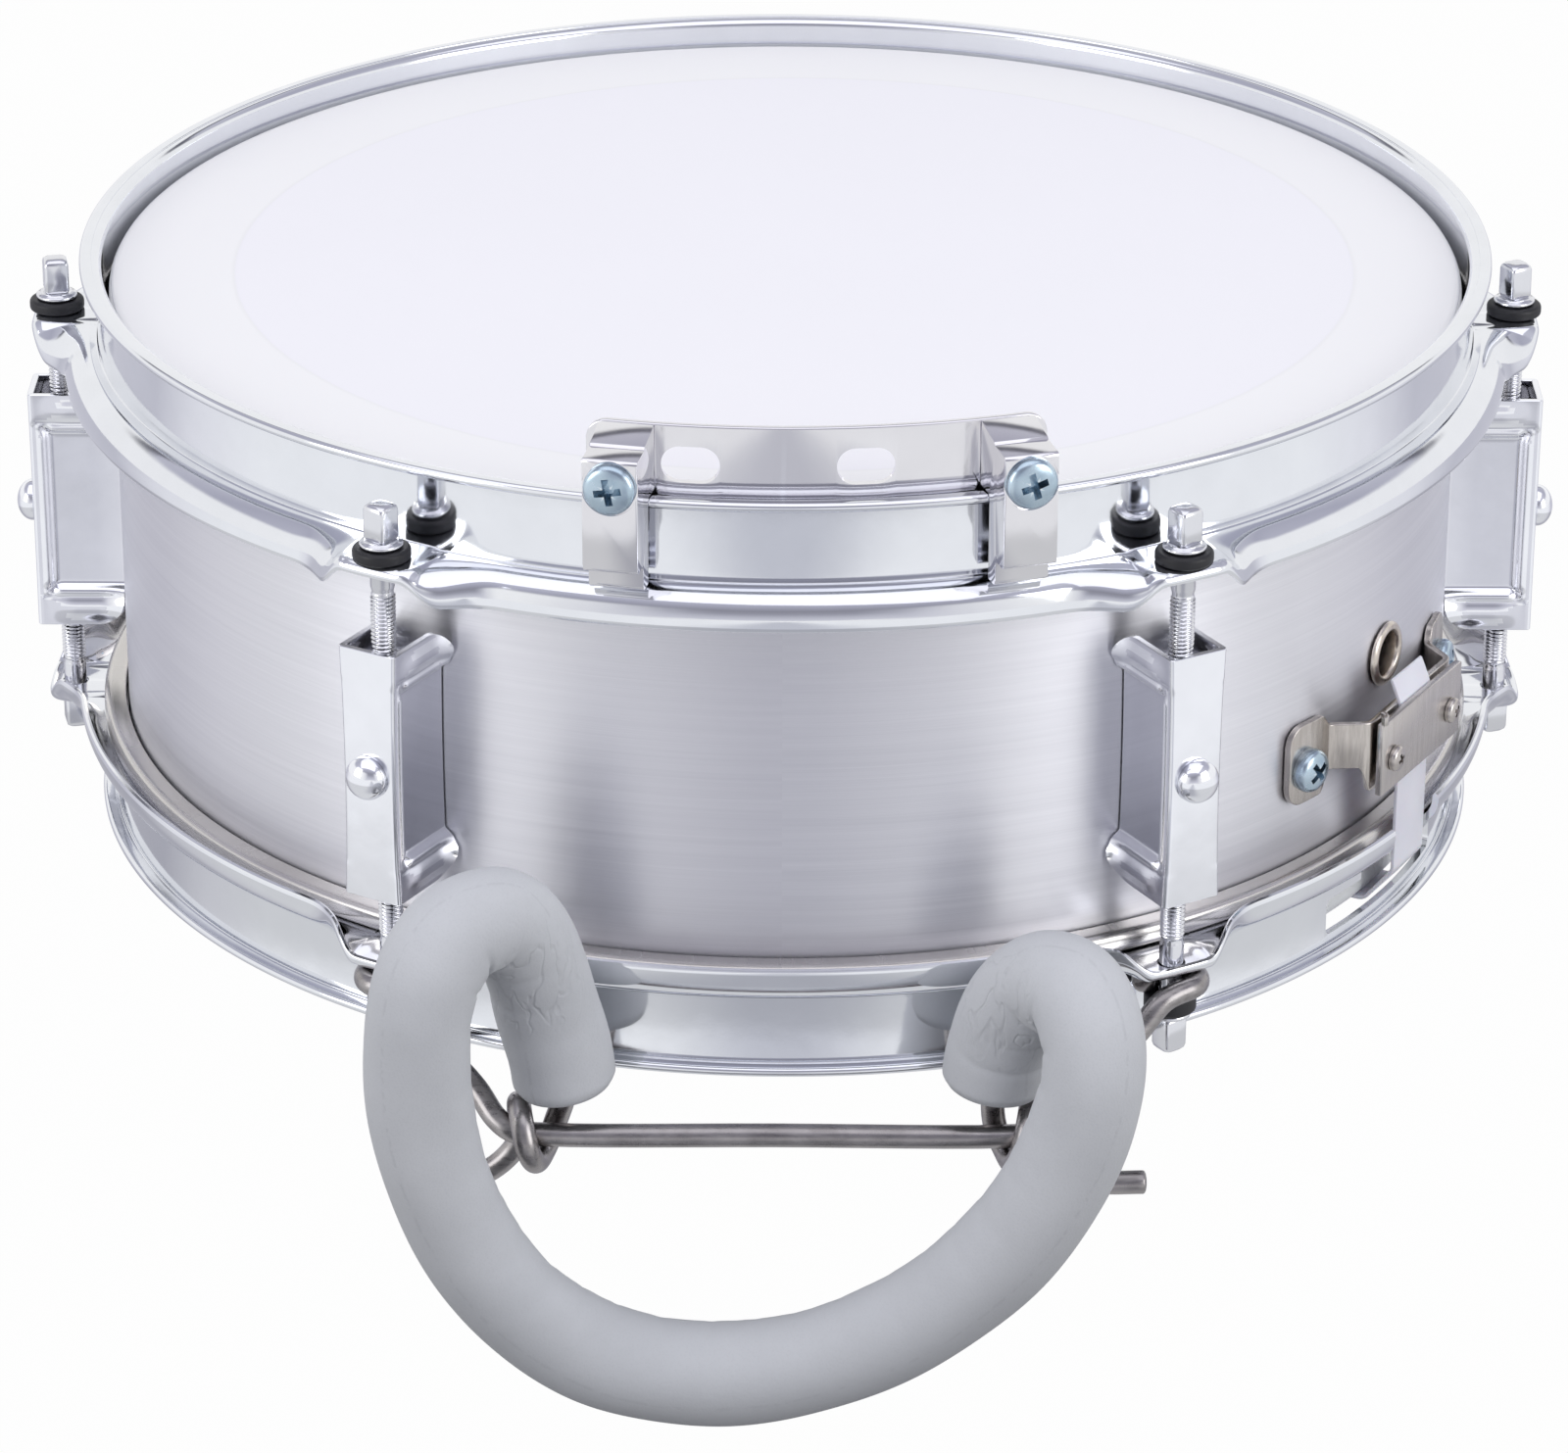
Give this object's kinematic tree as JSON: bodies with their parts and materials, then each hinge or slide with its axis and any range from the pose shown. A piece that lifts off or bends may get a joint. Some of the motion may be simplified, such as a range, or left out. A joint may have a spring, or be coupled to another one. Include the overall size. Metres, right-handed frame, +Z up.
{
  "type": "marching snare drum",
  "caption": "Marching snare drum with a metal shell, two flanged hoops on tension rods, a snare strainer, a slotted carrying plate on the rim and a folding foam covered leg rest.",
  "frame": {"origin": "middle of the batter head's top face", "axes": "+Z up out of the batter head along the drum's axis, -Y to the front where the carrying plate and the leg rest are, +X to the right as seen from the front"},
  "size_m": [0.4136, 0.4283, 0.245],
  "materials": {
    "shell": "brushed",
    "chrome": "mirror plated",
    "batter_film": "coated, matt",
    "snare_film": "hazy",
    "flesh_hoop": "satin",
    "rubber": "matt black",
    "nickel": "satin nickel plated",
    "zinc": "blue zinc plated",
    "strip_plastic": "white, semi gloss",
    "stainless": "drawn, dull",
    "snare_wire": "bright",
    "foam": "soft closed cell foam, matt"
  },
  "bodies": {
    "drum": {"shell": "shell", "batter_head": "batter_film", "snare_head": "snare_film", "batter_flesh_hoop": "flesh_hoop", "snare_flesh_hoop": "flesh_hoop", "top_hoop": "chrome", "bottom_hoop": "chrome", "sling_plate": "chrome", "sling_clamp_left": "chrome", "sling_clamp_right": "chrome", "vent_eyelet": "nickel", "lug_1": "chrome", "lug_bolt_1": "chrome", "rubber_washer_1": "rubber", "lug_2": "chrome", "lug_bolt_2": "chrome", "rubber_washer_2": "rubber", "lug_3": "chrome", "lug_bolt_3": "chrome", "rubber_washer_3": "rubber", "lug_4": "chrome", "lug_bolt_4": "chrome", "rubber_washer_4": "rubber", "lug_5": "chrome", "lug_bolt_5": "chrome", "rubber_washer_5": "rubber", "lug_6": "chrome", "lug_bolt_6": "chrome", "rubber_washer_6": "rubber", "sling_screw_left": "zinc", "butt_mount_screw_left": "zinc", "butt_clamp_screw_left": "nickel", "sling_screw_right": "zinc", "butt_mount_screw_right": "zinc", "butt_clamp_screw_right": "nickel", "butt_bracket": "nickel", "butt_clamp_plate": "nickel", "strainer_base": "nickel", "butt_strip": "strip_plastic", "snare_wires": "snare_wire", "leg_rest_frame": "stainless"},
    "lever": {"strainer_lever": "chrome"},
    "slide": {"strainer_slide": "nickel", "strainer_strip": "strip_plastic"},
    "knob": {"strainer_knob": "chrome"},
    "leg_rest": {"leg_rest_bow": "stainless", "leg_rest_foam": "foam"},
    "top_rod_1": {"top_rod_1": "chrome"},
    "bottom_rod_1": {"bottom_rod_1": "chrome"},
    "top_rod_2": {"top_rod_2": "chrome"},
    "bottom_rod_2": {"bottom_rod_2": "chrome"},
    "top_rod_3": {"top_rod_3": "chrome"},
    "bottom_rod_3": {"bottom_rod_3": "chrome"},
    "top_rod_4": {"top_rod_4": "chrome"},
    "bottom_rod_4": {"bottom_rod_4": "chrome"},
    "top_rod_5": {"top_rod_5": "chrome"},
    "bottom_rod_5": {"bottom_rod_5": "chrome"},
    "top_rod_6": {"top_rod_6": "chrome"},
    "bottom_rod_6": {"bottom_rod_6": "chrome"}
  },
  "joints": [
    {"name": "top_rod_1_turn", "type": "hinge", "parent": "drum", "child": "top_rod_1", "pos_m": [0.09675, -0.16758, -0.01], "axis": [0, 0, 1], "continuous": true},
    {"name": "bottom_rod_1_turn", "type": "hinge", "parent": "drum", "child": "bottom_rod_1", "pos_m": [0.09675, -0.16758, -0.13], "axis": [0, 0, 1], "continuous": true},
    {"name": "top_rod_2_turn", "type": "hinge", "parent": "drum", "child": "top_rod_2", "pos_m": [0.1935, 0, -0.01], "axis": [0, 0, 1], "continuous": true},
    {"name": "bottom_rod_2_turn", "type": "hinge", "parent": "drum", "child": "bottom_rod_2", "pos_m": [0.1935, 0, -0.13], "axis": [0, 0, 1], "continuous": true},
    {"name": "top_rod_3_turn", "type": "hinge", "parent": "drum", "child": "top_rod_3", "pos_m": [0.09675, 0.16758, -0.01], "axis": [0, 0, 1], "continuous": true},
    {"name": "bottom_rod_3_turn", "type": "hinge", "parent": "drum", "child": "bottom_rod_3", "pos_m": [0.09675, 0.16758, -0.13], "axis": [0, 0, 1], "continuous": true},
    {"name": "top_rod_4_turn", "type": "hinge", "parent": "drum", "child": "top_rod_4", "pos_m": [-0.09675, 0.16758, -0.01], "axis": [0, 0, 1], "continuous": true},
    {"name": "bottom_rod_4_turn", "type": "hinge", "parent": "drum", "child": "bottom_rod_4", "pos_m": [-0.09675, 0.16758, -0.13], "axis": [0, 0, 1], "continuous": true},
    {"name": "top_rod_5_turn", "type": "hinge", "parent": "drum", "child": "top_rod_5", "pos_m": [-0.1935, 0, -0.01], "axis": [0, 0, 1], "continuous": true},
    {"name": "bottom_rod_5_turn", "type": "hinge", "parent": "drum", "child": "bottom_rod_5", "pos_m": [-0.1935, 0, -0.13], "axis": [0, 0, 1], "continuous": true},
    {"name": "top_rod_6_turn", "type": "hinge", "parent": "drum", "child": "top_rod_6", "pos_m": [-0.09675, -0.16758, -0.01], "axis": [0, 0, 1], "continuous": true},
    {"name": "bottom_rod_6_turn", "type": "hinge", "parent": "drum", "child": "bottom_rod_6", "pos_m": [-0.09675, -0.16758, -0.13], "axis": [0, 0, 1], "continuous": true},
    {"name": "lever_swing", "type": "hinge", "parent": "drum", "child": "lever", "pos_m": [-0.1655, 0.09555, -0.072], "axis": [0.5, 0.866, 0], "range_deg": [0, 90]},
    {"name": "slide_travel", "type": "slide", "parent": "drum", "child": "slide", "axis": [0, 0, 1], "range_m": [-0.004, 0], "deforming": ["strainer_strip"]},
    {"name": "knob_turn", "type": "hinge", "parent": "drum", "child": "knob", "pos_m": [-0.1616, 0.0933, -0.05], "axis": [0, 0, 1], "continuous": true},
    {"name": "leg_rest_swing", "type": "hinge", "parent": "drum", "child": "leg_rest", "pos_m": [-0.0015, -0.2, -0.155], "axis": [1, 0, 0], "range_deg": [-5, 85]}
  ],
  "couplings": [
    {"joint": "slide_travel", "follows": "lever_swing", "m_per_rad": -0.0025465}
  ]
}
